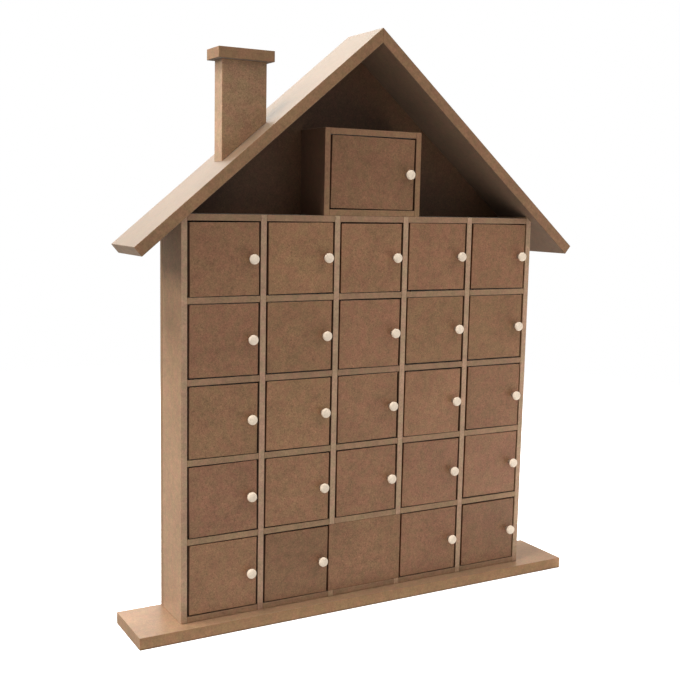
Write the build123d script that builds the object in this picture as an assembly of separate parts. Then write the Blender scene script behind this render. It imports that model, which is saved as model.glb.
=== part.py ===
from build123d import *
import math
import os

# House-shaped advent calendar of raw fibreboard: a lattice of cells, each closed by a hinged door with a
# turned knob, under a pitched roof with an attic box and a chimney. Millimetres, +Z up, front towards -Y,
# origin at the middle of the house's width and of the base board's depth, on the surface that it stands on.

# Lattice of cells: counts and clear size of one cell
COLUMNS = 5
ROWS = 5
CELL_W = 60.0
CELL_H = 57.5

# Boards of the house
BOARD_T = 5.0
WALL_T = 5.0
BACK_T = 5.0
PANEL_T = 5.0
BOARD_DEPTH = 41.5
SLOT_PLAY = 0.1

# Base board: thickness and how far it stands out at the left, at the right and at the front
BASE_T = 9.6
BASE_LEFT = 37.0
BASE_RIGHT = 43.0
BASE_FRONT = 11.2

# Roof boards: slope in degrees, length along the slope from ridge to eave, overhang at the front, and how
# far the walls lift them above the top board
ROOF_PITCH = 40.2
ROOF_T = 9.0
ROOF_LENGTH = 267.0
ROOF_FRONT = 9.6
ROOF_LIFT = 1.0

# Attic box: clear size inside its boards
ATTIC_W = 80.7
ATTIC_H = 59.1

# Chimney on the left slope: middle of the stack, its section, and its rise above the roof there
CHIMNEY_X = -109.8
CHIMNEY_W = 37.0
CHIMNEY_D = 14.8
CHIMNEY_RISE = 60.7
CAP_T = 8.3
CAP_OVERHANG = 4.6

# Doors: thickness and the gaps to the cell at the hinge, at the free edge, above and below
DOOR_T = 5.0
HINGE_GAP = 1.5
FREE_GAP = 1.8
LEVEL_GAP = 0.8

# Pins: one kind, as hinges and as stops
PIN_D = 1.5
PIN_REACH = 4.5
PIN_PLAY = 0.05
PIN_END_PLAY = 0.1
STOP_INSET = 10.0
STOP_GAP = 0.3

# Knobs: turned head, neck and glued tenon
KNOB_INSET = 6.4
KNOB_HEAD_D = 8.6
KNOB_NECK_D = 5.2
KNOB_NECK_L = 2.2
KNOB_FLARE_L = 2.0
KNOB_RIM_L = 1.4
KNOB_EDGE_R = 1.6
KNOB_DOME = 0.5
TENON_D = 3.0
TENON_SKIN = 1.5

# Places that follow from the sizes above
BLANK_COLUMN = (COLUMNS + 1) // 2
PITCH_X = CELL_W + BOARD_T
PITCH_Z = CELL_H + BOARD_T
INNER_X = (COLUMNS * PITCH_X - BOARD_T) / 2
OUTER_X = INNER_X + WALL_T
BODY_DEPTH = BOARD_DEPTH + BACK_T
FRONT_Y = (BASE_FRONT - BODY_DEPTH) / 2
LAP_Y = FRONT_Y + BOARD_DEPTH / 2
INSIDE_Y = FRONT_Y + BOARD_DEPTH
BACK_Y = FRONT_Y + BODY_DEPTH
TOP_Z = BASE_T + ROWS * PITCH_Z + BOARD_T
SLOPE = math.radians(ROOF_PITCH)
PIN_L = BOARD_T + 2 * PIN_REACH
# The hinge edge's corners may use half of the hinge gap as they swing past the board beside them
CORNER_SWING = HINGE_GAP / 2
PIVOT_INSET = ((DOOR_T / 2) ** 2 - CORNER_SWING ** 2) / (2 * CORNER_SWING)
PIVOT_Y = FRONT_Y + DOOR_T / 2
STOP_Y = FRONT_Y + DOOR_T + STOP_GAP + PIN_D / 2


def block(low, high):
    """A square-cut board between two opposite corners."""
    size = [b - a for a, b in zip(low, high)]
    return Pos(*low) * Box(*size, align=(Align.MIN, Align.MIN, Align.MIN))


def profile(points, y_front, y_back):
    """A board whose outline, seen from the front, runs through the points (x, z)."""
    outline = Polyline(*[(x, y_front, z) for x, z in points], close=True)
    return extrude(make_face(outline), amount=y_back - y_front, dir=(0, 1, 0))


def upright_rod(x, y, z_low, z_high, diameter):
    """A round rod or bore about an upright axis."""
    rod = Cylinder(diameter / 2, z_high - z_low, align=(Align.CENTER, Align.CENTER, Align.MIN))
    return Pos(x, y, z_low) * rod


def mirrored(board):
    """The same board on the other side of the house."""
    return mirror(board, about=Plane.YZ)


def roof_underside(x):
    """Height of the roof boards' lower face."""
    return TOP_Z + ROOF_LIFT + (INNER_X - abs(x)) * math.tan(SLOPE)


def roof_top(x):
    """Height of the roof boards' upper face."""
    return roof_underside(x) + ROOF_T / math.cos(SLOPE)


def is_blank(row, column):
    """True for the cell that the fixed panel closes. Row 1 is the highest."""
    return row == ROWS and column == BLANK_COLUMN


def cell_corner(row, column):
    """Lower left corner (x, z) of a cell's clear space."""
    return -INNER_X + (column - 1) * PITCH_X, BASE_T + BOARD_T + (ROWS - row) * PITCH_Z


def has_door(row, column):
    """True where a cell of the lattice has a hinged door."""
    return 1 <= row <= ROWS and not is_blank(row, column)


def pin_low_end(underside, door_above, door_below):
    """Where a pin starts in a board: through both faces, or flush with the face that has no door."""
    if door_above and door_below:
        return underside - PIN_REACH
    if door_above:
        return underside
    return underside + BOARD_T - PIN_L


def hinge_x(cell_x):
    """Upright hinge axis of the door in a cell that starts at cell_x."""
    return cell_x + HINGE_GAP + PIVOT_INSET


def stop_x(cell_x, width):
    """Stop pin behind the free edge of the door in a cell that starts at cell_x."""
    return cell_x + width - FREE_GAP - STOP_INSET


def board_pins(level):
    """All pins in one horizontal board of the lattice. Level 0 is the bottom board."""
    underside = BASE_T + level * PITCH_Z
    pins = []
    for column in range(1, COLUMNS + 1):
        above = has_door(ROWS - level, column)
        below = has_door(ROWS - level + 1, column)
        if not (above or below):
            continue
        z_low = pin_low_end(underside, above, below)
        cell_x = cell_corner(1, column)[0]
        pins.append(upright_rod(hinge_x(cell_x), PIVOT_Y, z_low, z_low + PIN_L, PIN_D))
        # Every second board carries stops, which gives each door one
        if level % 2 == 0:
            pins.append(upright_rod(stop_x(cell_x, CELL_W), STOP_Y, z_low, z_low + PIN_L, PIN_D))
    return pins


def attic_floor_pins():
    """Hinge and stop pin that stand up from the attic box's floor."""
    places = [(hinge_x(-ATTIC_W / 2), PIVOT_Y), (stop_x(-ATTIC_W / 2, ATTIC_W), STOP_Y)]
    return [upright_rod(x, y, TOP_Z, TOP_Z + PIN_L, PIN_D) for x, y in places]


def attic_ceiling_pin():
    """Hinge pin that hangs from the attic box's ceiling."""
    z_high = TOP_Z + ATTIC_H + 2 * BOARD_T
    return upright_rod(hinge_x(-ATTIC_W / 2), PIVOT_Y, z_high - PIN_L, z_high, PIN_D)


def make_base_board():
    """Board that the house stands on."""
    x_low = -OUTER_X - BASE_LEFT
    x_high = OUTER_X + BASE_RIGHT
    return block((x_low, FRONT_Y - BASE_FRONT, 0), (x_high, BACK_Y, BASE_T))


def make_side_walls():
    """Outer walls, with tops that follow the roof."""
    corners = [
        (INNER_X, BASE_T),
        (OUTER_X, BASE_T),
        (OUTER_X, roof_underside(OUTER_X)),
        (INNER_X, roof_underside(INNER_X)),
    ]
    wall = profile(corners, FRONT_Y, INSIDE_Y)
    return [mirrored(wall), wall]


def make_back_panel():
    """House-shaped panel behind all boards."""
    shoulder = roof_underside(OUTER_X)
    corners = [
        (-OUTER_X, BASE_T),
        (OUTER_X, BASE_T),
        (OUTER_X, shoulder),
        (0, roof_underside(0)),
        (-OUTER_X, shoulder),
    ]
    return profile(corners, INSIDE_Y, BACK_Y)


def divider_left_x(index):
    """Left face of an upright divider. Index 1 stands between columns 1 and 2."""
    return -INNER_X + index * PITCH_X - BOARD_T


def make_shelf(level):
    """Horizontal board, slotted from the front for the dividers and bored for its pins."""
    z_low = BASE_T + level * PITCH_Z
    z_high = z_low + BOARD_T
    board = block((-INNER_X, FRONT_Y, z_low), (INNER_X, INSIDE_Y, z_high))
    cuts = board_pins(level)
    for index in range(1, COLUMNS):
        x = divider_left_x(index) - SLOT_PLAY / 2
        cuts.append(block((x, FRONT_Y, z_low), (x + BOARD_T + SLOT_PLAY, LAP_Y, z_high)))
    return board - cuts


def make_divider(index):
    """Upright board, slotted from behind for the shelves and notched behind the blank panel."""
    x_low = divider_left_x(index)
    x_high = x_low + BOARD_T
    board = block((x_low, FRONT_Y, BASE_T), (x_high, INSIDE_Y, TOP_Z))
    cuts = []
    for level in range(ROWS + 1):
        z = BASE_T + level * PITCH_Z - SLOT_PLAY / 2
        cuts.append(block((x_low, LAP_Y, z), (x_high, INSIDE_Y, z + BOARD_T + SLOT_PLAY)))
    if index in (BLANK_COLUMN - 1, BLANK_COLUMN):
        z = cell_corner(ROWS, BLANK_COLUMN)[1]
        cuts.append(block((x_low, FRONT_Y, z), (x_high, FRONT_Y + PANEL_T, z + CELL_H)))
    return board - cuts


def make_front_panel():
    """Fixed panel over the blank cell, across the front edges of the dividers beside it."""
    x, z = cell_corner(ROWS, BLANK_COLUMN)
    return block((x - BOARD_T, FRONT_Y, z), (x + CELL_W + BOARD_T, FRONT_Y + PANEL_T, z + CELL_H))


def make_attic_box():
    """Open-backed box on the top board: floor, ceiling and two sides."""
    half = ATTIC_W / 2
    ceiling_z = TOP_Z + BOARD_T + ATTIC_H
    floor = block((-half, FRONT_Y, TOP_Z), (half, INSIDE_Y, TOP_Z + BOARD_T))
    ceiling = block((-half, FRONT_Y, ceiling_z), (half, INSIDE_Y, ceiling_z + BOARD_T))
    side = block((half, FRONT_Y, TOP_Z), (half + BOARD_T, INSIDE_Y, ceiling_z + BOARD_T))
    return [floor - attic_floor_pins(), ceiling - attic_ceiling_pin(), mirrored(side), side]


def make_roof_boards():
    """Two boards, mitred at the ridge and cut square at the eaves."""
    eave_x = ROOF_LENGTH * math.cos(SLOPE)
    eave_z = roof_top(eave_x)
    corners = [
        (0, roof_top(0)),
        (eave_x, eave_z),
        (eave_x - ROOF_T * math.sin(SLOPE), eave_z - ROOF_T * math.cos(SLOPE)),
        (0, roof_underside(0)),
    ]
    board = profile(corners, FRONT_Y - ROOF_FRONT, BACK_Y)
    return [mirrored(board), board]


def make_chimney():
    """Stack, cut to the roof's slope and midway along its depth, and its cap."""
    x_low = CHIMNEY_X - CHIMNEY_W / 2
    x_high = CHIMNEY_X + CHIMNEY_W / 2
    y_low = (FRONT_Y - ROOF_FRONT + BACK_Y - CHIMNEY_D) / 2
    y_high = y_low + CHIMNEY_D
    stack_z = roof_top(CHIMNEY_X) + CHIMNEY_RISE
    corners = [(x_low, roof_top(x_low)), (x_high, roof_top(x_high)), (x_high, stack_z), (x_low, stack_z)]
    stack = profile(corners, y_low, y_high)
    cap = block(
        (x_low - CAP_OVERHANG, y_low - CAP_OVERHANG, stack_z),
        (x_high + CAP_OVERHANG, y_high + CAP_OVERHANG, stack_z + CAP_T),
    )
    return [stack, cap]


def make_pins():
    """Every hinge pin and stop pin of the house."""
    pins = []
    for level in range(ROWS + 1):
        pins += board_pins(level)
    return pins + attic_floor_pins() + [attic_ceiling_pin()]


def door_openings():
    """Clear space of each door, attic last: x, z, width, height, pin reach below and above."""
    through = PIN_REACH
    flush = PIN_L - BOARD_T
    openings = []
    for row in range(1, ROWS + 1):
        for column in range(1, COLUMNS + 1):
            if is_blank(row, column):
                continue
            x, z = cell_corner(row, column)
            below = through if has_door(row + 1, column) else flush
            above = through if row > 1 else flush
            openings.append((x, z, CELL_W, CELL_H, below, above))
    openings.append((-ATTIC_W / 2, TOP_Z + BOARD_T, ATTIC_W, ATTIC_H, flush, flush))
    return openings


def knob_center(x, z, width, height):
    """Where the knob's axis meets the front of a door."""
    return x + width - FREE_GAP - KNOB_INSET, FRONT_Y, z + height / 2


def make_door(x, z, width, height, reach_below, reach_above):
    """Door panel with a bore for each hinge pin and one for the knob's tenon."""
    z_low = z + LEVEL_GAP
    z_high = z + height - LEVEL_GAP
    panel = block((x + HINGE_GAP, FRONT_Y, z_low), (x + width - FREE_GAP, FRONT_Y + DOOR_T, z_high))
    bore_d = PIN_D + 2 * PIN_PLAY
    low_bore = upright_rod(hinge_x(x), PIVOT_Y, z_low, z + reach_below + PIN_END_PLAY, bore_d)
    high_bore = upright_rod(hinge_x(x), PIVOT_Y, z + height - reach_above - PIN_END_PLAY, z_high, bore_d)
    tenon_bore = Cylinder(TENON_D / 2, DOOR_T - TENON_SKIN, align=(Align.CENTER, Align.CENTER, Align.MAX))
    front = Plane(origin=knob_center(x, z, width, height), x_dir=(1, 0, 0), z_dir=(0, -1, 0))
    return panel - [low_bore, high_bore, front.location * tenon_bore]


def make_knob(x, z, width, height):
    """Turned knob: tenon, neck, flared head with a rounded edge and a slightly domed face."""
    head_r = KNOB_HEAD_D / 2
    neck_r = KNOB_NECK_D / 2
    flare_z = KNOB_NECK_L + KNOB_FLARE_L
    rim_z = flare_z + KNOB_RIM_L
    face_z = rim_z + KNOB_EDGE_R
    face_r = head_r - KNOB_EDGE_R
    tenon_r = TENON_D / 2
    tenon_z = TENON_SKIN - DOOR_T
    tenon = Polyline((0, 0, tenon_z), (tenon_r, 0, tenon_z), (tenon_r, 0, 0))
    neck = Polyline((tenon_r, 0, 0), (neck_r, 0, 0), (neck_r, 0, KNOB_NECK_L))
    flare = Line((neck_r, 0, KNOB_NECK_L), (head_r, 0, flare_z))
    rim = Line((head_r, 0, flare_z), (head_r, 0, rim_z))
    edge_bend = KNOB_EDGE_R * math.sqrt(0.5)
    edge = ThreePointArc((head_r, 0, rim_z), (face_r + edge_bend, 0, rim_z + edge_bend), (face_r, 0, face_z))
    # The face is a shallow spherical cap about the knob's own axis
    crown_z = face_z + KNOB_DOME
    ball_r = (face_r ** 2 + KNOB_DOME ** 2) / (2 * KNOB_DOME)
    cap_z = crown_z - ball_r + math.sqrt(ball_r ** 2 - (face_r / 2) ** 2)
    face = ThreePointArc((face_r, 0, face_z), (face_r / 2, 0, cap_z), (0, 0, crown_z))
    axis_line = Line((0, 0, crown_z), (0, 0, tenon_z))
    section = make_face([*tenon.edges(), *neck.edges(), flare, rim, edge, face, axis_line])
    front = Plane(origin=knob_center(x, z, width, height), x_dir=(1, 0, 0), z_dir=(0, -1, 0))
    return front.location * revolve(section, Axis.Z)


def export(node, solids):
    """Writes one node: a single piece, or a group of separate pieces."""
    shape = Compound(children=solids) if isinstance(solids, list) else solids
    export_step(shape, f"parts/{node}.step")


def main():
    """Builds every piece and writes it under its node's name."""
    os.makedirs("parts", exist_ok=True)
    export("base_board", make_base_board())
    export("side_walls", make_side_walls())
    export("back_panel", make_back_panel())
    export("shelves", [make_shelf(level) for level in range(ROWS + 1)])
    export("dividers", [make_divider(index) for index in range(1, COLUMNS)])
    export("front_panel", make_front_panel())
    export("attic_box", make_attic_box())
    export("roof_boards", make_roof_boards())
    export("chimney", make_chimney())
    export("door_pins", make_pins())
    for number, opening in enumerate(door_openings(), 1):
        export(f"door_{number:02d}", make_door(*opening))
        export(f"knob_{number:02d}", make_knob(*opening[:4]))


main()
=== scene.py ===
"""House-shaped advent calendar of raw fibreboard: eased boards, hung doors, turned knobs and steel pins."""

import math
import random

import bpy
from bpy.props import FloatProperty, FloatVectorProperty, IntProperty, PointerProperty
from mathutils import Euler, Matrix, Vector


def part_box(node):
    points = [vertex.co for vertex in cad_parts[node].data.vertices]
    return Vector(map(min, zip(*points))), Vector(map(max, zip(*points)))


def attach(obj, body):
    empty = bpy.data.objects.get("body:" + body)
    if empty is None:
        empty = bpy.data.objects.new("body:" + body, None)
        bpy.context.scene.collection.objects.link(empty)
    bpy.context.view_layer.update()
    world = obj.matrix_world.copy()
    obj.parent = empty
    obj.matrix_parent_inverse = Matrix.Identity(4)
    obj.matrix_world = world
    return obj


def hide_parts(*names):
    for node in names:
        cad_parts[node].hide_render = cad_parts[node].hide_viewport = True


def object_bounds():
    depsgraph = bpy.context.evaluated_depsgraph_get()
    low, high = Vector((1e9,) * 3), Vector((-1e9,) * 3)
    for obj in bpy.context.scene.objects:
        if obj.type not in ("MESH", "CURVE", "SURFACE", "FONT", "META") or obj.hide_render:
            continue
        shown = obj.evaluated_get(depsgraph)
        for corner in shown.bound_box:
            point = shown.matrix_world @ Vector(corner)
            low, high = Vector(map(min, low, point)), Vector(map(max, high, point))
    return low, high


bl_info = {
    "name": "Advent House",
    "version": (1, 0, 0),
    "blender": (4, 5, 0),
    "location": "View3D > Sidebar > Advent House",
    "description": "Finishes the boards, doors, knobs and pins of a fibreboard advent calendar",
    "category": "Object",
}

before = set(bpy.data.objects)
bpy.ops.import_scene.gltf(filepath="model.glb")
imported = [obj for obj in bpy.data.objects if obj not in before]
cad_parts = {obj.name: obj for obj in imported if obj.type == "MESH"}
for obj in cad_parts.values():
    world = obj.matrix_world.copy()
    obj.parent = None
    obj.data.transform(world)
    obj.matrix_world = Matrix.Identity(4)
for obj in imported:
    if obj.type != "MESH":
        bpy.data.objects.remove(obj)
cad_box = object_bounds()

MM = 0.001
HOUSE = "house"
# Thickness of the stock that the lattice and the doors are cut from
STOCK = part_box("front_panel")[1].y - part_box("front_panel")[0].y
DOOR_COUNT = sum(node.startswith("door_") and node != "door_pins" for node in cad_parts)

# Names of the finishes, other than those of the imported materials
BOARD_FINISH = "wall_board"
DIVIDER_FINISH = "divider_board"
SHELF_FINISH = "shelf_board"
THICK_FINISH = "thick_board"
BASE_FINISH = "base_board_finish"
SHADED_BACK_FINISH = "back_board"
DOOR_FINISH = "pressed_door"
KNOB_FINISH = "turned_beech"
PIN_FINISH = "drawn_steel"

# Names of the attributes that the fibreboard and the knobs carry for their materials
LAYER = "board_layer"
SHIFT = "board_shift"
TONE = "board_tone"
TURNING = "turning_radius"
NECK = "knob_neck"

# A copied board is welded and its flat faces joined before its edges are eased
WELD_DISTANCE = 0.001 * MM
FLAT_ANGLE = math.radians(0.1)
SHARP_ANGLE = math.radians(50)
# A point this far under a face lies inside the board that the face belongs to
PROBE_DEPTH = 0.5 * MM
# A direction that lies along no face, to count opposite faces as one
FACE_SIDE = Vector((1, 2, 4))
PIN_EASE = 0.2 * MM
PIN_EASE_STEPS = 2

# Seeds of each piece's own tone and place in the patterns, and of how each closed door hangs in its cell. The
# doors' tones from the first are partly random and partly painted shade: the seed gives darker doors where
# shade falls, as on the attic door under the roof
BOARD_SEED = 58323
HANG_SEED = 4003
# How far, in metres, a piece's place in the patterns may lie from its place in the house
PATTERN_REACH = 10

# How fine the patterns in the boards are, in features to the metre
FINE_PATCHES = 210.0
BROAD_PATCHES = 34.0
TINT_PATCHES = 130.0
FLECK_CELLS = 300.0
# The fine patches' share of all, the draw from which a cell holds a fleck, the widest fleck and its strength
FINE_SHARE = 0.6
FLECK_START = 0.55
FLECK_SIZE = 0.13
FLECK_STRENGTH = 0.45
# Share of half a board's thickness where its pressed skin starts, and from where it is whole
SKIN = (0.9, 0.995)
# Bands through a board's thickness, and how fine the open fibre of a cut edge is against that of a face
BAND_STRETCH = 3.0
BAND_SCALE = 1.6
OPEN_FIBRE = 0.7
# What each pattern multiplies the board's colour by, from its dark to its pale places
STRAND_TONES = (0.65, 1.35)
BAND_TONES = (0.9, 1.08)
OPEN_FIBRE_TONES = (0.8, 1.2)
PATCH_TONES = (0.865, 1.135)
REDDER = (1.05, 0.975, 1.0, 1)
GREENER = (0.965, 1.02, 0.965, 1)
# How far a board's hue may stray
HUE_SPREAD = 0.006
# How rough a board's faces are, what its cut edges add to that, and how high strands stand to open fibre
FACE_ROUGHNESS = (0.34, 0.46)
CUT_ROUGHNESS = 0.2
STRAND_HEIGHT = 0.5

# How fine the patterns in the beech are, in features to the metre, and the step between lathe rings
GRAIN_LINES = 900.0
GROWTH_LINES = 160.0
PORES = 1500.0
LATHE_STEP = 0.42 * MM
# What each pattern multiplies the beech's colour by, and how rough it is
GRAIN_TONES = (0.93, 1.05)
GROWTH_TONES = (0.94, 1.03)
LATHE_TONES = (0.985, 1.01)
BEECH_ROUGHNESS = (0.42, 0.56)
# The widest pore in its cell, and how strongly the pores and the painted shade on the neck show
PORE_SIZE = 0.16
PORE_STRENGTH = 0.25
NECK_SHADE_STRENGTH = 0.9
# The grain is drawn out along the knob, and it stands higher than the lathe rings
GRAIN_STRETCH = (1.0, 0.16, 1.0)
GRAIN_HEIGHT = 0.5
LATHE_HEIGHT = 0.25

# The same for the steel of the pins, with scratches drawn out along them
SCRATCH_STRETCH = (1.0, 1.0, 0.04)
SCRATCHES = 6000.0
DULL_SPOTS = 700.0
SCRATCH_TONES = (0.85, 1.1)
DULL_TONES = (0.85, 1.05)
STEEL_ROUGHNESS = (0.24, 0.46)

# A knob's tenon and its taper at the end, and the share of the knob's height over which the painted shade on
# its neck fades out towards the head
TENON_RADIUS = 1.5 * MM
TENON_TAPER = 0.85
NECK_SHADE_FADE = 0.2
# Points along the parts of a knob's outline
NECK_STEPS = 6
FLARE_STEPS = 10
EDGE_STEPS = 8
FACE_STEPS = 24
# The lathe's ring and centre mark, as shares of the radius of the knob's face
RING_PLACE = 0.52
RING_WIDTH = 0.12
MARK_WIDTH = 0.14

# The floor's sides, and the shares of its radius between which it fades out
FLOOR_SIDES = 96
FLOOR_FADE = (0.3, 0.95)
# Where, in parts of a unit vector, the bright surround comes in behind and above and goes out on the right
GLOSS_BEHIND = (0.0, 0.4)
GLOSS_ABOVE = (0.1, 0.45)
GLOSS_RIGHT = (0.3, 0.7)
# Soft boxes: turn from the front towards the left and height in degrees, then distance and size in metres
SOFT_BOXES = {
    "front_light": (-34, 50, 6, (4, 3)),
    "left_light": (92, 65, 3, (1.5, 1)),
    "low_left_light": (92, 30, 3, (1.2, 1.2)),
    "right_light": (-135, 35, 3, (1, 1)),
}
# Cards on the floor that throw light up: their sizes, their height, and the gap to the base board's front
FLOOR_CARD = (1.8, 1.0)
NEAR_FLOOR_CARD = (0.5, 0.02)
RIGHT_FLOOR_CARD = (0.8, 1.0)
CARD_HEIGHT = 0.8 * MM
CARD_GAP = 0.5 * MM
# Width in millimetres of the sensor that the camera's focal length is given for
SENSOR_WIDTH = 36.0


def colour_setting(name, description, default):
    """A colour among the settings."""
    return FloatVectorProperty(
        name=name, description=description, subtype="COLOR", size=3, default=default, min=0, max=1,
    )


def length_setting(name, description, default, **limits):
    """A length among the settings, shown to the hundredth of a millimetre."""
    return FloatProperty(
        name=name, description=description, default=default, precision=5, unit="LENGTH", **limits,
    )


class AdventBoardSettings(bpy.types.PropertyGroup):
    """How the boards and doors are cut and what colour they have."""

    edge_ease: length_setting(
        name="Edge ease", description="Width of the rounding along the boards' edges",
        default=0.35 * MM, min=0.05 * MM, max=1 * MM,
    )
    door_ease: length_setting(
        name="Door ease", description="Width of the rounding along the doors' edges",
        default=0.3 * MM, min=0.05 * MM, max=1 * MM,
    )
    ease_steps: IntProperty(
        name="Ease steps", description="Facets across each rounded edge", default=2, min=1, max=6,
    )
    door_play: length_setting(
        name="Door play", description="How far a closed door may stand to the left or right of its place",
        default=0.35 * MM, min=0,
    )
    door_rise: length_setting(
        name="Door rise", description="How far a closed door's corners may stand above or below their place",
        default=0.6 * MM, min=0,
    )
    door_lean: FloatProperty(
        name="Door lean", description="How far a closed door may lean to the left or right",
        subtype="ANGLE", default=math.radians(0.55), min=0,
    )
    door_ajar: FloatProperty(
        name="Door ajar", description="How far a closed door may stand open",
        subtype="ANGLE", default=math.radians(0.5), min=0,
    )
    fibre_size: length_setting(
        name="Fibre size", description="Length of a wood fibre in the pressed faces",
        default=1.1 * MM, min=0.1 * MM, max=5 * MM,
    )
    tone_spread: FloatProperty(
        name="Board tones", description="How far one board may be paler or darker than another",
        default=0.03, min=0, max=0.5,
    )
    # Partly painted shade: the spread of the doors' tones also carries how much shade each door stands in
    door_tone_spread: FloatProperty(
        name="Door tones", description="How far one door may be paler or darker than another",
        default=0.165, min=0, max=0.5,
    )
    face_colour: colour_setting(
        name="Wall face", description="Pressed face of the walls and of the chimney's stack",
        default=(0.37, 0.215, 0.117),
    )
    thick_colour: colour_setting(
        name="Thick board face", description="Pressed face of the roof, the chimney's cap and the lattice",
        default=(0.158, 0.09, 0.049),
    )
    # Painted shade: the back panel and the attic box are coloured darker than the other boards, for the shade
    # deep in the attic
    back_shade_colour: colour_setting(
        name="Back shade", description="Pressed face of the back panel and of the attic box",
        default=(0.13, 0.063, 0.033),
    )
    base_colour: colour_setting(
        name="Base face", description="Pressed face of the base", default=(0.274, 0.155, 0.087),
    )
    door_colour: colour_setting(
        name="Door face", description="Pressed face of the doors and of the blank panel",
        default=(0.285, 0.1445, 0.0742),
    )
    door_core_colour: colour_setting(
        name="Door cut edge", description="Edge of the doors, browned by the cutter",
        default=(0.15, 0.052, 0.016),
    )
    core_colour: colour_setting(
        name="Upright cut edge", description="Sawn edge of the walls, the dividers and the chimney's stack",
        default=(0.45, 0.285, 0.177),
    )
    shelf_core_colour: colour_setting(
        name="Shelf cut edge", description="Sawn edge of the shelves, where the core shows",
        default=(0.33, 0.195, 0.109),
    )
    thick_core_colour: colour_setting(
        name="Thick cut edge", description="Sawn edge of the roof, the chimney's cap and the attic box",
        default=(0.29, 0.157, 0.079),
    )
    base_core_colour: colour_setting(
        name="Base cut edge", description="Sawn edge of the base", default=(0.312, 0.161, 0.072),
    )
    fleck_colour: colour_setting(
        name="Flecks", description="Sparse bits of bark in the pressed faces", default=(0.07, 0.04, 0.025),
    )


class AdventKnobSettings(bpy.types.PropertyGroup):
    """Shape and colour of the turned knobs, and the colour of the pins."""

    neck_width: length_setting(
        name="Neck", description="Diameter of the knob's waist",
        default=3.4 * MM, min=2 * MM, max=8 * MM,
    )
    foot_width: length_setting(
        name="Foot", description="Diameter where the neck meets the door",
        default=4.0 * MM, min=2 * MM, max=8 * MM,
    )
    waist_share: FloatProperty(
        name="Waist", description="Share of the knob's height where its neck is slimmest",
        default=0.4, min=0.1, max=0.5,
    )
    head_start: FloatProperty(
        name="Head start", description="Share of the knob's height where its sanded head starts",
        default=0.66, min=0.5, max=0.8,
    )
    head_share: FloatProperty(
        name="Head", description="Width of the sanded head as a share of the knob's box",
        default=0.91, min=0.6, max=1,
    )
    edge_round: length_setting(
        name="Edge rounding", description="Radius of the head's front edge",
        default=1.3 * MM, min=0.2 * MM, max=2 * MM,
    )
    dome: length_setting(
        name="Dome", description="How far the face rises to its middle",
        default=0.4 * MM, min=0, max=1 * MM,
    )
    groove_depth: length_setting(
        name="Groove depth", description="Depth of the lathe's ring on the face",
        default=0.14 * MM, min=0, max=0.5 * MM,
    )
    steps: IntProperty(
        name="Steps", description="Facets around the knob", default=40, min=12, max=96,
    )
    wood_colour: colour_setting(
        name="Wood", description="Pale beech of the knobs", default=(0.92, 0.76, 0.592),
    )
    pore_colour: colour_setting(
        name="Pores", description="Fine pores of the beech", default=(0.42, 0.27, 0.15),
    )
    # Painted shade: the neck under the head is coloured dark as the head's shadow on it, not as the wood's
    # own colour
    neck_shade_colour: colour_setting(
        name="Neck shade", description="Painted shade on the neck, where the head shadows it",
        default=(0.12, 0.068, 0.038),
    )
    pin_colour: colour_setting(
        name="Pin steel", description="Steel of the hinge and stop pins", default=(0.16, 0.15, 0.14),
    )


class AdventStageSettings(bpy.types.PropertyGroup):
    """Camera, lights and floor."""

    camera_place: FloatVectorProperty(
        name="Camera place", description="Where the camera stands",
        subtype="TRANSLATION", size=3, unit="LENGTH", default=(-0.43473, -0.74156, 0.33587),
    )
    camera_turn: FloatProperty(
        name="Camera turn", description="Heading to the right of straight ahead",
        subtype="ANGLE", default=0.5115,
    )
    camera_tilt: FloatProperty(
        name="Camera tilt", description="Upward tilt of the camera", subtype="ANGLE", default=-0.1309,
    )
    camera_roll: FloatProperty(
        name="Camera roll", description="Roll about the line of sight", subtype="ANGLE", default=0.0202,
    )
    camera_lens: FloatProperty(
        name="Camera lens", description="Focal length in millimetres", default=54.396, min=10,
    )
    floor_radius: FloatProperty(
        name="Floor radius", description="How far the floor reaches", default=1.4, min=0.5, unit="LENGTH",
    )
    floor_colour: colour_setting(
        name="Floor", description="Pale floor", default=(0.9, 0.9, 0.9),
    )
    floor_glow: FloatProperty(
        name="Floor glow", description="Light that the floor adds of its own", default=0.6, min=0,
    )
    front_light: FloatProperty(
        name="Front light", description="Wide soft light in front, in watts", default=77.5, min=0,
    )
    left_light: FloatProperty(
        name="Left light", description="Soft light from high on the left, in watts", default=115.0, min=0,
    )
    low_left_light: FloatProperty(
        name="Low left light", description="Soft light from low on the left, in watts", default=38.0, min=0,
    )
    right_light: FloatProperty(
        name="Right light", description="Soft light from behind on the right, in watts", default=70.0, min=0,
    )
    floor_light: FloatProperty(
        name="Floor light", description="Light thrown up from the floor in front, in watts",
        default=2.7, min=0,
    )
    near_floor_light: FloatProperty(
        name="Near floor light", description="Light thrown up from the floor right before the base, in watts",
        default=0.02, min=0,
    )
    right_floor_light: FloatProperty(
        name="Right floor light", description="Light thrown up from the floor on the right, in watts",
        default=5.0, min=0,
    )
    fill_light: FloatProperty(
        name="Fill light", description="Even light from all round", default=0.37, min=0,
    )
    front_gloss: FloatProperty(
        name="Front gloss", description="Brightness of the surround in front, as the boards reflect it",
        default=0.1, min=0,
    )
    back_gloss: FloatProperty(
        name="Back gloss", description="Brightness of the surround high behind, as the boards reflect it",
        default=3.2, min=0,
    )
    gloss_tint: colour_setting(
        name="Gloss tint", description="Colour of the surround, as the boards reflect it",
        default=(1.0, 0.965, 0.9),
    )


def select_only(piece):
    """Selects this piece and nothing else."""
    bpy.ops.object.select_all(action="DESELECT")
    piece.select_set(True)
    bpy.context.view_layer.objects.active = piece


def new_piece(name, mesh):
    """A new object at the origin, selected alone."""
    piece = bpy.data.objects.new(name, mesh)
    bpy.context.collection.objects.link(piece)
    select_only(piece)
    return piece


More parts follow.
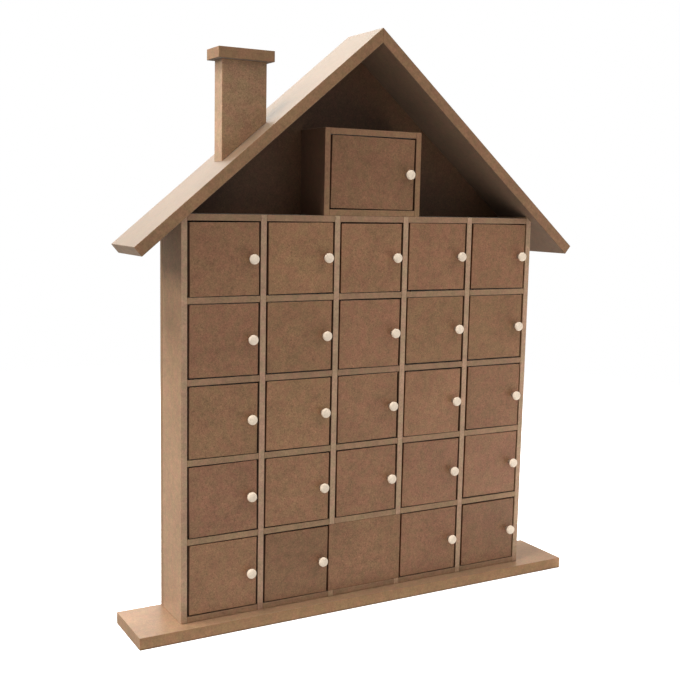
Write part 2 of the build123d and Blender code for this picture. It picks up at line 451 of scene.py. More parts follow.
def copy_of_node(node, name, belongs=None):
    """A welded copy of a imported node, or of the board that belongs() picks, each flat face in one piece."""
    piece = new_piece(name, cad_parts[node].data.copy())
    piece.data.name = name
    piece.data.materials.clear()
    bpy.ops.mesh.customdata_custom_splitnormals_clear()
    bpy.ops.object.mode_set(mode="EDIT")
    bpy.ops.mesh.select_mode(type="FACE")
    bpy.ops.mesh.select_all(action="DESELECT")
    bpy.ops.object.mode_set(mode="OBJECT")
    for face in piece.data.polygons:
        face.select = belongs is not None and not belongs(face.center - face.normal * PROBE_DEPTH)
    bpy.ops.object.mode_set(mode="EDIT")
    bpy.ops.mesh.delete(type="FACE")
    bpy.ops.mesh.select_all(action="SELECT")
    bpy.ops.mesh.remove_doubles(threshold=WELD_DISTANCE)
    bpy.ops.mesh.dissolve_limited(angle_limit=FLAT_ANGLE)
    bpy.ops.mesh.faces_shade_flat()
    bpy.ops.object.mode_set(mode="OBJECT")
    return piece


def ease_edges(piece, width, steps):
    """Rounds every sharp edge a little, as sanding leaves it."""
    select_only(piece)
    bpy.ops.object.modifier_add(type="BEVEL")
    bevel = piece.modifiers[-1]
    bevel.width = width
    bevel.segments = steps
    bevel.limit_method = "ANGLE"
    bevel.angle_limit = SHARP_ANGLE
    bevel.use_clamp_overlap = False
    bpy.ops.object.modifier_apply(modifier=bevel.name)


def thickness_axis(mesh):
    """Direction through the board: square to the faces that have the most area."""
    sums = {}
    for face in mesh.polygons:
        normal = face.normal if face.normal.dot(FACE_SIDE) > 0 else -face.normal
        like = tuple(round(value, 1) for value in normal)
        sums[like] = sums.get(like, Vector()) + normal * face.area
    return max(sums.values(), key=lambda total: total.length).normalized()


def write_attribute(mesh, name, kind, values):
    """Stores one number or vector on each vertex."""
    attribute = mesh.attributes.new(name, kind, "POINT")
    attribute.data.foreach_set("vector" if kind == "FLOAT_VECTOR" else "value", values)


def mark_layers(piece):
    """Stores how deep each point lies in its board: -1 and 1 at its faces, 0 half way through."""
    mesh = piece.data
    axis = thickness_axis(mesh)
    depths = [vertex.co.dot(axis) for vertex in mesh.vertices]
    middle = (max(depths) + min(depths)) / 2
    half = (max(depths) - min(depths)) / 2
    write_attribute(mesh, LAYER, "FLOAT", [(depth - middle) / half for depth in depths])


def mark_shift(piece):
    """Gives a piece its own tone and its own place in the patterns, drawn from its name."""
    draw = random.Random(f"{BOARD_SEED} {piece.name}")
    # For the doors this tone is partly random and partly painted shade, through the seed
    tone = draw.uniform(-1, 1)
    shift = [draw.uniform(-PATTERN_REACH, PATTERN_REACH) for _ in range(3)]
    write_attribute(piece.data, TONE, "FLOAT", [tone] * len(piece.data.vertices))
    write_attribute(piece.data, SHIFT, "FLOAT_VECTOR", shift * len(piece.data.vertices))


def finish_piece(piece, node, body, finish):
    """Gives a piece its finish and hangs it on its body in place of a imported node."""
    piece.data.materials.append(bpy.data.materials[finish])
    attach(piece, body)
    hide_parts(node)


def finish_board(piece, node, ease, body=HOUSE, finish=BOARD_FINISH):
    """Eases a board's edges, marks its layers and puts it in place of its node."""
    ease_edges(piece, ease, bpy.context.scene.advent_boards.ease_steps)
    mark_layers(piece)
    mark_shift(piece)
    finish_piece(piece, node, body, finish)


def make_boards(node, chosen, finish=BOARD_FINISH):
    """The boards of one node, each under its name, where chosen gives the test for a point inside it."""
    ease = bpy.context.scene.advent_boards.edge_ease
    for name, belongs in chosen.items():
        finish_board(copy_of_node(node, name, belongs), node, ease, finish=finish)


def between(axis, low, high):
    """A test for points between two limits along X, Y or Z."""
    return lambda point: low < point["XYZ".index(axis)] < high


def both(first, second):
    """A test for points that pass two others."""
    return lambda point: first(point) and second(point)


def stacked(node, axis, names):
    """Names of like boards, spread evenly over a node's box, with the test for each."""
    side = "XYZ".index(axis)
    low, high = (corner[side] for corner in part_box(node))
    pitch = (high - low - STOCK) / (len(names) - 1)
    starts = [low + index * pitch for index in range(len(names))]
    return {name: between(axis, start, start + STOCK) for name, start in zip(names, starts)}


def put(tree, kind, inputs=None, **settings):
    """Adds a node. Each input is a value, or an output socket to link from."""
    made = tree.nodes.new(kind)
    for name, value in settings.items():
        setattr(made, name, value)
    for socket, value in (inputs or {}).items():
        if isinstance(value, bpy.types.NodeSocket):
            tree.links.new(value, made.inputs[socket])
        else:
            made.inputs[socket].default_value = value
    return made


def maths(tree, operation, first, second=0.0):
    """Output of one sum on one or two numbers."""
    return put(tree, "ShaderNodeMath", {0: first, 1: second}, operation=operation).outputs[0]


def add_vectors(tree, first, second):
    """Sum of two vectors."""
    return put(tree, "ShaderNodeVectorMath", {0: first, 1: second}, operation="ADD").outputs[0]


def channel(tree, colour, index):
    """The red, green or blue of a colour."""
    return put(tree, "ShaderNodeSeparateColor", {0: colour}).outputs[index]


def remap(tree, value, low, high, to_low=0.0, to_high=1.0, smooth=False):
    """A number taken from one range to another, held at its ends."""
    inputs = {"Value": value, 1: low, 2: high, 3: to_low, 4: to_high}
    kind = "SMOOTHSTEP" if smooth else "LINEAR"
    return put(tree, "ShaderNodeMapRange", inputs, interpolation_type=kind).outputs[0]


def vary(tree, pattern, low, high, reach=0.2):
    """A noise taken to a range. It usually keeps within reach of its middle."""
    return remap(tree, pattern, 0.5 - reach, 0.5 + reach, low, high)


def mix_colour(tree, factor, first, second, blend="MIX"):
    """Two colours mixed by a factor."""
    inputs = {0: factor, 6: first, 7: second}
    return put(tree, "ShaderNodeMix", inputs, data_type="RGBA", blend_type=blend).outputs[2]


def multiply_colour(tree, colour, tone):
    """A colour multiplied by a tone or by another colour."""
    return mix_colour(tree, 1.0, colour, tone, "MULTIPLY")


def noise(tree, place, scale, detail=2.0, roughness=0.5, distortion=0.0):
    """A grey noise from 0 to 1."""
    inputs = {"Vector": place, "Scale": scale, "Detail": detail}
    inputs |= {"Roughness": roughness, "Distortion": distortion}
    return put(tree, "ShaderNodeTexNoise", inputs).outputs[0]


def rgba(colour):
    """A colour property as a shader colour."""
    return (*colour, 1.0)


def new_group(name, inputs, outputs):
    """An empty shader group with named sockets: the group, its inputs inside, and its outputs inside."""
    group = bpy.data.node_groups.new(name, "ShaderNodeTree")
    for label, kind in inputs.items():
        group.interface.new_socket(label, in_out="INPUT", socket_type=kind)
    for label, kind in outputs.items():
        group.interface.new_socket(label, in_out="OUTPUT", socket_type=kind)
    return group, group.nodes.new("NodeGroupInput").outputs, group.nodes.new("NodeGroupOutput").inputs


def use_group(tree, group, inputs):
    """Places a group, with its inputs, in a material or in another group."""
    return put(tree, "ShaderNodeGroup", inputs, node_tree=group)


def pressed_fibre_group():
    """Matted wood fibre: short strands, cloudy patches, tints and sparse dark flecks."""
    group, given, wanted = new_group(
        "pressed_fibre",
        {"Place": "NodeSocketVector", "Fibre size": "NodeSocketFloat"},
        dict.fromkeys(("Strands", "Patches", "Tints", "Flecks"), "NodeSocketFloat"),
    )
    per_metre = maths(group, "DIVIDE", 1.0, given["Fibre size"])
    strands = noise(group, given["Place"], per_metre, detail=3.0, roughness=0.6, distortion=1.2)
    group.links.new(strands, wanted["Strands"])
    fine = noise(group, given["Place"], FINE_PATCHES, detail=3.0, roughness=0.6)
    fine = maths(group, "MULTIPLY", fine, FINE_SHARE)
    broad = maths(group, "MULTIPLY", noise(group, given["Place"], BROAD_PATCHES), 1 - FINE_SHARE)
    group.links.new(maths(group, "ADD", fine, broad), wanted["Patches"])
    tints = noise(group, given["Place"], TINT_PATCHES, detail=3.0, roughness=0.65)
    group.links.new(tints, wanted["Tints"])
    cells = put(group, "ShaderNodeTexVoronoi", {"Vector": given["Place"], "Scale": FLECK_CELLS}).outputs
    size = remap(group, channel(group, cells["Color"], 0), FLECK_START, 1.0, 0.0, FLECK_SIZE)
    group.links.new(maths(group, "LESS_THAN", cells["Distance"], size), wanted["Flecks"])
    return group


def fibreboard_group(fibre):
    """Colour, roughness and height of a fibreboard: matted faces, and cut edges that are open and layered."""
    group, given, wanted = new_group(
        "fibreboard_finish",
        {
            "Place": "NodeSocketVector",
            "Shift": "NodeSocketVector",
            "Layer": "NodeSocketFloat",
            "Fibre size": "NodeSocketFloat",
            "Face colour": "NodeSocketColor",
            "Core colour": "NodeSocketColor",
            "Fleck colour": "NodeSocketColor",
            "Tone": "NodeSocketFloat",
            "Tone spread": "NodeSocketFloat",
        },
        {"Colour": "NodeSocketColor", "Roughness": "NodeSocketFloat", "Height": "NodeSocketFloat"},
    )
    place = add_vectors(group, given["Place"], given["Shift"])
    own = put(group, "ShaderNodeTexWhiteNoise", {"Vector": given["Shift"]}, noise_dimensions="3D").outputs
    skin = remap(group, maths(group, "ABSOLUTE", given["Layer"]), *SKIN, smooth=True)
    under_skin = remap(group, skin, 0, 1, 1, 0)

    pressed = use_group(group, fibre, {"Place": place, "Fibre size": given["Fibre size"]}).outputs
    face = multiply_colour(group, given["Face colour"], vary(group, pressed["Strands"], *STRAND_TONES))
    flecked = maths(group, "MULTIPLY", pressed["Flecks"], FLECK_STRENGTH)
    face = mix_colour(group, flecked, face, given["Fleck colour"])

    depth = maths(group, "MULTIPLY", given["Layer"], BAND_STRETCH)
    layers = put(group, "ShaderNodeCombineXYZ", {0: depth, 1: own["Value"]}).outputs[0]
    bands = noise(group, layers, BAND_SCALE, detail=3.0, roughness=0.7)
    per_metre = maths(group, "DIVIDE", OPEN_FIBRE, given["Fibre size"])
    open_fibre = noise(group, place, per_metre, detail=4.0, roughness=0.7)
    core = multiply_colour(group, given["Core colour"], vary(group, bands, *BAND_TONES))
    core = multiply_colour(group, core, vary(group, open_fibre, *OPEN_FIBRE_TONES))

    colour = mix_colour(group, skin, core, face)
    colour = multiply_colour(group, colour, vary(group, pressed["Patches"], *PATCH_TONES, reach=0.15))
    redder = multiply_colour(group, colour, REDDER)
    greener = multiply_colour(group, colour, GREENER)
    colour = mix_colour(group, vary(group, pressed["Tints"], 0, 1, reach=0.1), redder, greener)
    spread = maths(group, "MULTIPLY", given["Tone"], given["Tone spread"])
    toned = put(group, "ShaderNodeHueSaturation", {
        "Color": colour,
        "Value": maths(group, "ADD", 1.0, spread),
        "Hue": remap(group, channel(group, own["Color"], 1), 0, 1, 0.5 - HUE_SPREAD, 0.5 + HUE_SPREAD),
    }).outputs[0]
    group.links.new(toned, wanted["Colour"])

    rough_face = vary(group, pressed["Strands"], *FACE_ROUGHNESS)
    rough_cut = maths(group, "MULTIPLY", under_skin, CUT_ROUGHNESS)
    group.links.new(maths(group, "ADD", rough_face, rough_cut), wanted["Roughness"])
    matted = maths(group, "MULTIPLY", pressed["Strands"], STRAND_HEIGHT)
    fuzz = maths(group, "MULTIPLY", open_fibre, under_skin)
    group.links.new(maths(group, "ADD", matted, fuzz), wanted["Height"])
    return group


def new_material(name):
    """A material with a Principled shader: its node tree and that shader."""
    material = bpy.data.materials.new(name)
    material.use_nodes = True
    return material.node_tree, material.node_tree.nodes["Principled BSDF"]


def attribute_of(tree, name):
    """An attribute that the piece's mesh carries."""
    return put(tree, "ShaderNodeAttribute", attribute_type="GEOMETRY", attribute_name=name).outputs


def place_on_piece(tree):
    """Where a point lies on its piece."""
    return put(tree, "ShaderNodeTexCoord").outputs["Object"]


def bump_shader(tree, shader, height, strength, distance):
    """Gives a shader the relief of a height."""
    inputs = {"Height": height, "Strength": strength, "Distance": distance}
    tree.links.new(put(tree, "ShaderNodeBump", inputs).outputs[0], shader.inputs["Normal"])


def fibreboard_material(name, group, face_colour, core_colour, tone_spread):
    """Raw fibreboard with a given face and cut edge."""
    settings = bpy.context.scene.advent_boards
    tree, shader = new_material(name)
    made = use_group(tree, group, {
        "Place": place_on_piece(tree),
        "Shift": attribute_of(tree, SHIFT)["Vector"],
        "Layer": attribute_of(tree, LAYER)["Fac"],
        "Fibre size": settings.fibre_size,
        "Face colour": rgba(face_colour),
        "Core colour": rgba(core_colour),
        "Fleck colour": rgba(settings.fleck_colour),
        "Tone": attribute_of(tree, TONE)["Fac"],
        "Tone spread": tone_spread,
    }).outputs
    tree.links.new(made["Colour"], shader.inputs["Base Color"])
    tree.links.new(made["Roughness"], shader.inputs["Roughness"])
    bump_shader(tree, shader, made["Height"], strength=0.35, distance=0.15 * MM)
    shader.inputs["Specular IOR Level"].default_value = 0.5
    # Raised fibres catch the light at a glancing view
    shader.inputs["Sheen Weight"].default_value = 0.5
    shader.inputs["Sheen Roughness"].default_value = 0.3
    shader.inputs["Sheen Tint"].default_value = (1.0, 0.95, 0.84, 1)


def beech_material():
    """Pale turned beech: fine lines along the knob's axis, pores and faint lathe rings, with painted shade on
    the neck.
    """
    settings = bpy.context.scene.advent_knobs
    tree, shader = new_material(KNOB_FINISH)
    place = add_vectors(tree, place_on_piece(tree), attribute_of(tree, SHIFT)["Vector"])
    along = put(tree, "ShaderNodeMapping", {"Vector": place, "Scale": GRAIN_STRETCH}).outputs[0]
    grain = noise(tree, along, GRAIN_LINES, detail=4.0, roughness=0.6)
    growth = noise(tree, along, GROWTH_LINES, detail=1.0, distortion=0.6)
    pores = put(tree, "ShaderNodeTexVoronoi", {"Vector": along, "Scale": PORES}).outputs["Distance"]
    turns = maths(tree, "MULTIPLY", attribute_of(tree, TURNING)["Fac"], 2 * math.pi / LATHE_STEP)
    rings = maths(tree, "SINE", turns)

    wood = multiply_colour(tree, rgba(settings.wood_colour), vary(tree, grain, *GRAIN_TONES))
    wood = multiply_colour(tree, wood, vary(tree, growth, *GROWTH_TONES, reach=0.15))
    wood = multiply_colour(tree, wood, remap(tree, rings, -1, 1, *LATHE_TONES))
    porous = remap(tree, pores, 0.0, PORE_SIZE, PORE_STRENGTH, 0.0)
    wood = mix_colour(tree, porous, wood, rgba(settings.pore_colour))
    # Painted shade: the neck under the head is darkened as if in the head's shadow
    neck_shade = maths(tree, "MULTIPLY", attribute_of(tree, NECK)["Fac"], NECK_SHADE_STRENGTH)
    wood = mix_colour(tree, neck_shade, wood, rgba(settings.neck_shade_colour))
    tree.links.new(wood, shader.inputs["Base Color"])
    tree.links.new(vary(tree, grain, *BEECH_ROUGHNESS), shader.inputs["Roughness"])
    turned = maths(tree, "MULTIPLY", rings, LATHE_HEIGHT)
    height = maths(tree, "ADD", turned, maths(tree, "MULTIPLY", grain, GRAIN_HEIGHT))
    bump_shader(tree, shader, height, strength=0.2, distance=0.08 * MM)
    shader.inputs["Specular IOR Level"].default_value = 0.4


def pin_material():
    """Drawn steel wire with fine lengthwise scratches."""
    tree, shader = new_material(PIN_FINISH)
    place = place_on_piece(tree)
    along = put(tree, "ShaderNodeMapping", {"Vector": place, "Scale": SCRATCH_STRETCH}).outputs[0]
    scratches = noise(tree, along, SCRATCHES, detail=3.0, roughness=0.7)
    dull = noise(tree, place, DULL_SPOTS)
    steel = rgba(bpy.context.scene.advent_knobs.pin_colour)
    steel = multiply_colour(tree, steel, vary(tree, scratches, *SCRATCH_TONES))
    steel = multiply_colour(tree, steel, vary(tree, dull, *DULL_TONES))
    tree.links.new(steel, shader.inputs["Base Color"])
    tree.links.new(vary(tree, scratches, *STEEL_ROUGHNESS), shader.inputs["Roughness"])
    bump_shader(tree, shader, scratches, strength=0.15, distance=0.02 * MM)
    shader.inputs["Metallic"].default_value = 1.0


def hang_of(number):
    """How one closed door hangs in its cell: a little off the middle, askew and ajar, about its own hinge."""
    settings = bpy.context.scene.advent_boards
    draw = random.Random(f"{HANG_SEED} hang {number}")
    ajar = draw.uniform(0, settings.door_ajar)
    across = draw.uniform(-settings.door_play, settings.door_play)
    lean = draw.uniform(-settings.door_lean, settings.door_lean)
    low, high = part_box(f"door_{number:02d}")
    # The more a door leans, the less room its corners leave it to stand high or low
    drop = lean * (high.x - low.x) / 2
    room = settings.door_rise - abs(drop)
    shift = Vector((across, 0, drop + draw.uniform(-room, room)))
    hinge = Vector((low.x, (low.y + high.y) / 2, (low.z + high.z) / 2))
    turned = Matrix.Rotation(lean, 4, "Y") @ Matrix.Rotation(-ajar, 4, "Z")
    return Matrix.Translation(hinge + shift) @ turned @ Matrix.Translation(-hinge)


def eased(start, end, steps):
    """Points from one (radius, height) to another along half a cosine, without the first."""
    shares = [step / steps for step in range(1, steps + 1)]
    swings = [(1 - math.cos(math.pi * share)) / 2 for share in shares]
    radii = [start[0] + (end[0] - start[0]) * swing for swing in swings]
    heights = [start[1] + (end[1] - start[1]) * share for share in shares]
    return list(zip(radii, heights))


def knob_outline(head_radius, tenon_depth, height):
    """Half outline of a knob from its tenon to the middle of its face, as (radius from the axis, height)."""
    settings = bpy.context.scene.advent_knobs
    edge = settings.edge_round
    outline = [(0, -tenon_depth), (TENON_TAPER * TENON_RADIUS, -tenon_depth)]
    outline += [(TENON_RADIUS, -TENON_TAPER * tenon_depth), (TENON_RADIUS, 0)]
    # The neck draws in from its foot to its waist and flares out again under the head
    foot = (settings.foot_width / 2, 0)
    waist = (settings.neck_width / 2, settings.waist_share * height)
    head = (head_radius, settings.head_start * height)
    outline += [foot, *eased(foot, waist, NECK_STEPS), *eased(waist, head, FLARE_STEPS)]
    face_radius = head_radius - edge
    edge_height = height - settings.dome - edge
    for step in range(EDGE_STEPS + 1):
        angle = math.pi / 2 * step / EDGE_STEPS
        outline.append((face_radius + edge * math.cos(angle), edge_height + edge * math.sin(angle)))
    # The domed face carries a shallow ring and the mark of the lathe's centre
    for step in range(1, FACE_STEPS + 1):
        share = 1 - step / FACE_STEPS
        ring = math.exp(-((share - RING_PLACE) / RING_WIDTH) ** 2)
        mark = math.exp(-(share / MARK_WIDTH) ** 2)
        rise = settings.dome * (1 - share ** 2) - settings.groove_depth * (ring + mark)
        outline.append((share * face_radius, edge_height + edge + rise))
    return outline


def make_knob(number):
    """Turned knob of one door, spun from its outline."""
    settings = bpy.context.scene.advent_knobs
    node = f"knob_{number:02d}"
    low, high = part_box(node)
    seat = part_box(f"door_{number:02d}")[0].y
    height = seat - low.y
    axis_x = (low.x + high.x) / 2
    axis_z = (low.z + high.z) / 2
    outline = knob_outline(settings.head_share * (high.x - low.x) / 2, high.y - seat, height)
    points = [(axis_x + radius, seat - rise, axis_z) for radius, rise in outline]
    name = f"turned_knob_{number:02d}"
    mesh = bpy.data.meshes.new(name)
    mesh.from_pydata(points, [(index, index + 1) for index in range(len(points) - 1)], [])
    piece = new_piece(name, mesh)
    bpy.ops.object.mode_set(mode="EDIT")
    bpy.ops.mesh.select_all(action="SELECT")
    bpy.ops.mesh.spin(
        steps=settings.steps, angle=2 * math.pi, center=(axis_x, 0, axis_z), axis=(0, 1, 0),
    )
    bpy.ops.mesh.select_all(action="SELECT")
    bpy.ops.mesh.remove_doubles(threshold=WELD_DISTANCE)
    bpy.ops.mesh.normals_make_consistent(inside=False)
    bpy.ops.object.mode_set(mode="OBJECT")
    bpy.ops.object.shade_smooth_by_angle(angle=SHARP_ANGLE)
    radii = [math.hypot(vertex.co.x - axis_x, vertex.co.z - axis_z) for vertex in mesh.vertices]
    write_attribute(mesh, TURNING, "FLOAT", radii)
    # Marks the neck under the head for its painted shade, fading out towards the head
    below_head = [settings.head_start - (seat - vertex.co.y) / height for vertex in mesh.vertices]
    write_attribute(mesh, NECK, "FLOAT", [min(max(share / NECK_SHADE_FADE, 0), 1) for share in below_head])
    mesh.transform(hang_of(number))
    mark_shift(piece)
    finish_piece(piece, node, f"hung_door_{number:02d}", KNOB_FINISH)


class ADVENT_OT_materials(bpy.types.Operator):
    """Make the finishes of the boards, doors, knobs and pins"""

    bl_idname = "advent_house.materials"
    bl_label = "Finishes"

    def execute(self, context):
        settings = context.scene.advent_boards
        group = fibreboard_group(pressed_fibre_group())
        boards = {
            BOARD_FINISH: (settings.face_colour, settings.core_colour),
            DIVIDER_FINISH: (settings.thick_colour, settings.core_colour),
            SHELF_FINISH: (settings.thick_colour, settings.shelf_core_colour),
            THICK_FINISH: (settings.thick_colour, settings.thick_core_colour),
            BASE_FINISH: (settings.base_colour, settings.base_core_colour),
            # Painted shade: the back and the attic box take a darker face for the shade in the attic
            SHADED_BACK_FINISH: (settings.back_shade_colour, settings.thick_core_colour),
        }
        for name, (face, core) in boards.items():
            fibreboard_material(name, group, face, core, settings.tone_spread)
        fibreboard_material(
            DOOR_FINISH, group, settings.door_colour, settings.door_core_colour, settings.door_tone_spread,
        )
        beech_material()
        pin_material()
        return {"FINISHED"}


class ADVENT_OT_base_board(bpy.types.Operator):
    """Finish the board that the house stands on"""

    bl_idname = "advent_house.base_board"
    bl_label = "Base board"

    def execute(self, context):
        make_boards("base_board", {"base": None}, BASE_FINISH)
        return {"FINISHED"}


class ADVENT_OT_side_walls(bpy.types.Operator):
    """Finish the two outer walls"""

    bl_idname = "advent_house.side_walls"
    bl_label = "Side walls"

    def execute(self, context):
        make_boards("side_walls", stacked("side_walls", "X", ["left_wall", "right_wall"]))
        return {"FINISHED"}


class ADVENT_OT_back_panel(bpy.types.Operator):
    """Finish the house-shaped back"""

    bl_idname = "advent_house.back_panel"
    bl_label = "Back panel"

    def execute(self, context):
        make_boards("back_panel", {"back": None}, SHADED_BACK_FINISH)
        return {"FINISHED"}


class ADVENT_OT_shelves(bpy.types.Operator):
    """Finish the horizontal boards of the lattice"""

    bl_idname = "advent_house.shelves"
    bl_label = "Shelves"

    def execute(self, context):
        names = ["bottom_board", "shelf_1", "shelf_2", "shelf_3", "shelf_4", "top_board"]
        make_boards("shelves", stacked("shelves", "Z", names), SHELF_FINISH)
        return {"FINISHED"}


class ADVENT_OT_dividers(bpy.types.Operator):
    """Finish the upright boards of the lattice"""

    bl_idname = "advent_house.dividers"
    bl_label = "Dividers"

    def execute(self, context):
        names = ["divider_1", "divider_2", "divider_3", "divider_4"]
        make_boards("dividers", stacked("dividers", "X", names), DIVIDER_FINISH)
        return {"FINISHED"}


class ADVENT_OT_blank_panel(bpy.types.Operator):
    """Finish the fixed panel over the lowest middle cell"""

    bl_idname = "advent_house.blank_panel"
    bl_label = "Blank panel"

    def execute(self, context):
        panel = copy_of_node("front_panel", "blank_panel")
        finish_board(panel, "front_panel", context.scene.advent_boards.door_ease, finish=DOOR_FINISH)
        return {"FINISHED"}


class ADVENT_OT_attic_box(bpy.types.Operator):
    """Finish the four boards of the attic box"""

    bl_idname = "advent_house.attic_box"
    bl_label = "Attic box"

    def execute(self, context):
        low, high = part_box("attic_box")
        sides = stacked("attic_box", "X", ["attic_left_side", "attic_right_side"])
        levels = stacked("attic_box", "Z", ["attic_floor", "attic_ceiling"])
        inside = between("X", low.x + STOCK, high.x - STOCK)
        levels = {name: both(inside, level) for name, level in levels.items()}
        make_boards("attic_box", {**sides, **levels}, SHADED_BACK_FINISH)
        return {"FINISHED"}


class ADVENT_OT_roof(bpy.types.Operator):
    """Finish the two roof boards"""

    bl_idname = "advent_house.roof"
    bl_label = "Roof"

    def execute(self, context):
        low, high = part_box("roof_boards")
        ridge = (low.x + high.x) / 2
        left = between("X", low.x, ridge)
        right = between("X", ridge, high.x)
        make_boards("roof_boards", {"left_roof_board": left, "right_roof_board": right}, THICK_FINISH)
        return {"FINISHED"}


class ADVENT_OT_chimney(bpy.types.Operator):
    """Finish the chimney's stack and cap"""

    bl_idname = "advent_house.chimney"
    bl_label = "Chimney"

    def execute(self, context):
        low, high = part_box("chimney")
        # The stack ends where the cap starts, at the highest level but one
        levels = sorted({round(vertex.co.z, 6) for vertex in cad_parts["chimney"].data.vertices})
        cap_low = levels[-2]
        make_boards("chimney", {"chimney_stack": between("Z", low.z, cap_low)})
        make_boards("chimney", {"chimney_cap": between("Z", cap_low, high.z)}, THICK_FINISH)
        return {"FINISHED"}


class ADVENT_OT_doors(bpy.types.Operator):
    """Finish the doors and hang each a little out of true"""

    bl_idname = "advent_house.doors"
    bl_label = "Doors"

    def execute(self, context):
        ease = context.scene.advent_boards.door_ease
        for number in range(1, DOOR_COUNT + 1):
            node = f"door_{number:02d}"
            leaf = copy_of_node(node, f"door_leaf_{number:02d}")
            leaf.data.transform(hang_of(number))
            finish_board(leaf, node, ease, f"hung_{node}", DOOR_FINISH)
        return {"FINISHED"}


class ADVENT_OT_knobs(bpy.types.Operator):
    """Turn the knob of each door"""

    bl_idname = "advent_house.knobs"
    bl_label = "Knobs"

    def execute(self, context):
        for number in range(1, DOOR_COUNT + 1):
            make_knob(number)
        return {"FINISHED"}


class ADVENT_OT_pins(bpy.types.Operator):
    """Finish the hinge pins and stop pins"""

    bl_idname = "advent_house.pins"
    bl_label = "Pins"

    def execute(self, context):
        pins = copy_of_node("door_pins", "steel_pins")
        ease_edges(pins, PIN_EASE, PIN_EASE_STEPS)
        bpy.ops.object.shade_smooth_by_angle(angle=SHARP_ANGLE)
        finish_piece(pins, "door_pins", HOUSE, PIN_FINISH)
        return {"FINISHED"}


def make_floor():
    """Round pale floor that fades into the backdrop."""
    settings = bpy.context.scene.advent_stage
    radius = settings.floor_radius
    bpy.ops.object.select_all(action="DESELECT")
    bpy.ops.mesh.primitive_circle_add(vertices=FLOOR_SIDES, radius=radius, fill_type="NGON")
    floor = bpy.context.object
    floor.name = "stage_floor"
    tree, shader = new_material("stage_floor")
    place = place_on_piece(tree)
    distance = put(tree, "ShaderNodeVectorMath", {0: place}, operation="LENGTH").outputs["Value"]
    start, end = (share * radius for share in FLOOR_FADE)
    tree.links.new(remap(tree, distance, start, end, 1.0, 0.0, smooth=True), shader.inputs["Alpha"])
    shader.inputs["Base Color"].default_value = rgba(settings.floor_colour)
    shader.inputs["Roughness"].default_value = 0.9
    shader.inputs["Specular IOR Level"].default_value = 0.0
    shader.inputs["Emission Color"].default_value = (1, 1, 1, 1)
    shader.inputs["Emission Strength"].default_value = settings.floor_glow
    floor.data.materials.append(bpy.data.materials["stage_floor"])
    # The floor is lit white, but throws no light back up at the front
    floor.visible_diffuse = False
    floor.visible_glossy = False


def make_backdrop():
    """White surround: bright to the camera, weak as a fill, and reflected most from high behind."""
    settings = bpy.context.scene.advent_stage
    world = bpy.data.worlds.new("stage_backdrop")
    world.use_nodes = True
    # Each kind of ray meets its own brightness, so the surround isn't sampled as one lamp
    world.cycles.sampling_method = "NONE"
    bpy.context.scene.world = world
    tree = world.node_tree
    ray = put(tree, "ShaderNodeLightPath").outputs
    direction = put(tree, "ShaderNodeTexCoord").outputs["Generated"]
    way = put(tree, "ShaderNodeSeparateXYZ", {0: direction}).outputs
    behind = remap(tree, way["Y"], *GLOSS_BEHIND)
    above = remap(tree, way["Z"], *GLOSS_ABOVE)
    not_right = remap(tree, way["X"], *GLOSS_RIGHT, 1, 0)
    share = maths(tree, "MULTIPLY", behind, maths(tree, "MULTIPLY", above, not_right))
    reflected = remap(tree, share, 0, 1, settings.front_gloss, settings.back_gloss)
    lit = remap(tree, ray["Is Glossy Ray"], 0, 1, settings.fill_light, reflected)
    tint = mix_colour(tree, ray["Is Glossy Ray"], (1, 1, 1, 1), rgba(settings.gloss_tint))
    background = tree.nodes["Background"]
    tree.links.new(tint, background.inputs["Color"])
    tree.links.new(remap(tree, ray["Is Camera Ray"], 0, 1, lit, 1.0), background.inputs["Strength"])


def add_soft_light(name, place, aim, size):
    """Soft box that faces a point. The setting of its name is its power, and no board mirrors it."""
    bpy.ops.object.light_add(type="AREA", location=place)
    light = bpy.context.object
    light.name = name
    light.rotation_euler = (aim - place).to_track_quat("-Z", "Y").to_euler()
    light.data.shape = "RECTANGLE"
    light.data.size, light.data.size_y = size
    light.data.energy = getattr(bpy.context.scene.advent_stage, name)
    light.visible_camera = False
    light.visible_glossy = False


def around(middle, turn, height, distance):
    """A place at a distance: turn in degrees from the front towards the left, height in degrees."""
    level = Vector((0, -distance, 0))
    level.rotate(Euler((-math.radians(height), 0, 0)))
    level.rotate(Euler((0, 0, -math.radians(turn))))
    return middle + level


def make_lights():
    """Soft boxes round the house, and cards on the floor in front of the base board and to its right."""
    low, high = cad_box
    middle = (low + high) / 2
    for name, (turn, height, distance, size) in SOFT_BOXES.items():
        add_soft_light(name, around(middle, turn, height, distance), middle, size)
    front = low.y - CARD_GAP
    cards = {
        "floor_light": (middle.x, front - FLOOR_CARD[1] / 2, FLOOR_CARD),
        "near_floor_light": (middle.x, front - NEAR_FLOOR_CARD[1] / 2, NEAR_FLOOR_CARD),
        "right_floor_light": (high.x + RIGHT_FLOOR_CARD[0] / 2, 0, RIGHT_FLOOR_CARD),
    }
    for name, (x, y, size) in cards.items():
        place = Vector((x, y, CARD_HEIGHT))
        add_soft_light(name, place, place + Vector((0, 0, 1)), size)


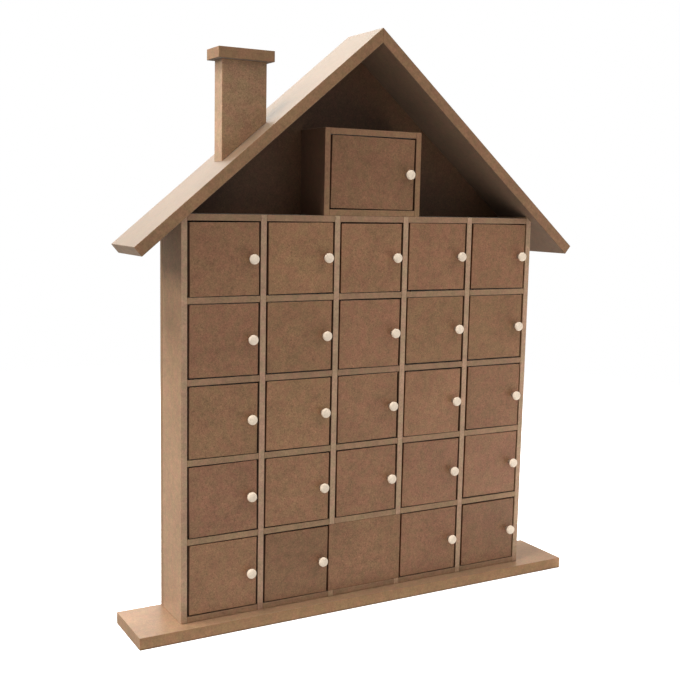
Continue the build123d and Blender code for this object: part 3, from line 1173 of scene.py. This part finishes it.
class ADVENT_OT_stage(bpy.types.Operator):
    """Set the floor, the soft lights and the camera"""

    bl_idname = "advent_house.stage"
    bl_label = "Stage"

    def execute(self, context):
        settings = context.scene.advent_stage
        make_floor()
        make_backdrop()
        make_lights()
        heading = Euler((math.pi / 2 + settings.camera_tilt, 0, -settings.camera_turn)).to_matrix()
        turned = heading @ Matrix.Rotation(settings.camera_roll, 3, "Z")
        bpy.ops.object.camera_add(location=settings.camera_place, rotation=turned.to_euler())
        camera = context.object
        camera.name = "photo_camera"
        camera.data.lens = settings.camera_lens
        camera.data.sensor_width = SENSOR_WIDTH
        context.scene.camera = camera
        context.scene.view_settings.view_transform = "Standard"
        return {"FINISHED"}


class ADVENT_PT_panel(bpy.types.Panel):
    """Lists the steps that finish the calendar"""

    bl_idname = "ADVENT_PT_panel"
    bl_label = "Advent House"
    bl_space_type = "VIEW_3D"
    bl_region_type = "UI"
    bl_category = "Advent House"

    def draw(self, context):
        for step in STEPS:
            self.layout.operator(step.bl_idname)


SETTINGS = {
    "advent_boards": AdventBoardSettings,
    "advent_knobs": AdventKnobSettings,
    "advent_stage": AdventStageSettings,
}

STEPS = (
    ADVENT_OT_materials,
    ADVENT_OT_base_board,
    ADVENT_OT_side_walls,
    ADVENT_OT_back_panel,
    ADVENT_OT_shelves,
    ADVENT_OT_dividers,
    ADVENT_OT_blank_panel,
    ADVENT_OT_attic_box,
    ADVENT_OT_roof,
    ADVENT_OT_chimney,
    ADVENT_OT_doors,
    ADVENT_OT_knobs,
    ADVENT_OT_pins,
    ADVENT_OT_stage,
)


def register():
    """Adds the settings, the operators and the panel."""
    for name, kind in SETTINGS.items():
        bpy.utils.register_class(kind)
        setattr(bpy.types.Scene, name, PointerProperty(type=kind))
    for kind in (*STEPS, ADVENT_PT_panel):
        bpy.utils.register_class(kind)


def unregister():
    """Takes them away again."""
    for kind in (ADVENT_PT_panel, *reversed(STEPS)):
        bpy.utils.unregister_class(kind)
    for name, kind in SETTINGS.items():
        delattr(bpy.types.Scene, name)
        bpy.utils.unregister_class(kind)


def main():
    """Finishes every piece and sets the stage."""
    register()
    bpy.ops.object.select_all(action="DESELECT")
    ops = bpy.ops.advent_house
    ops.materials()
    ops.base_board()
    ops.side_walls()
    ops.back_panel()
    ops.shelves()
    ops.dividers()
    ops.blank_panel()
    ops.attic_box()
    ops.roof()
    ops.chimney()
    ops.doors()
    ops.knobs()
    ops.pins()
    ops.stage()


if __name__ == "__main__":
    main()
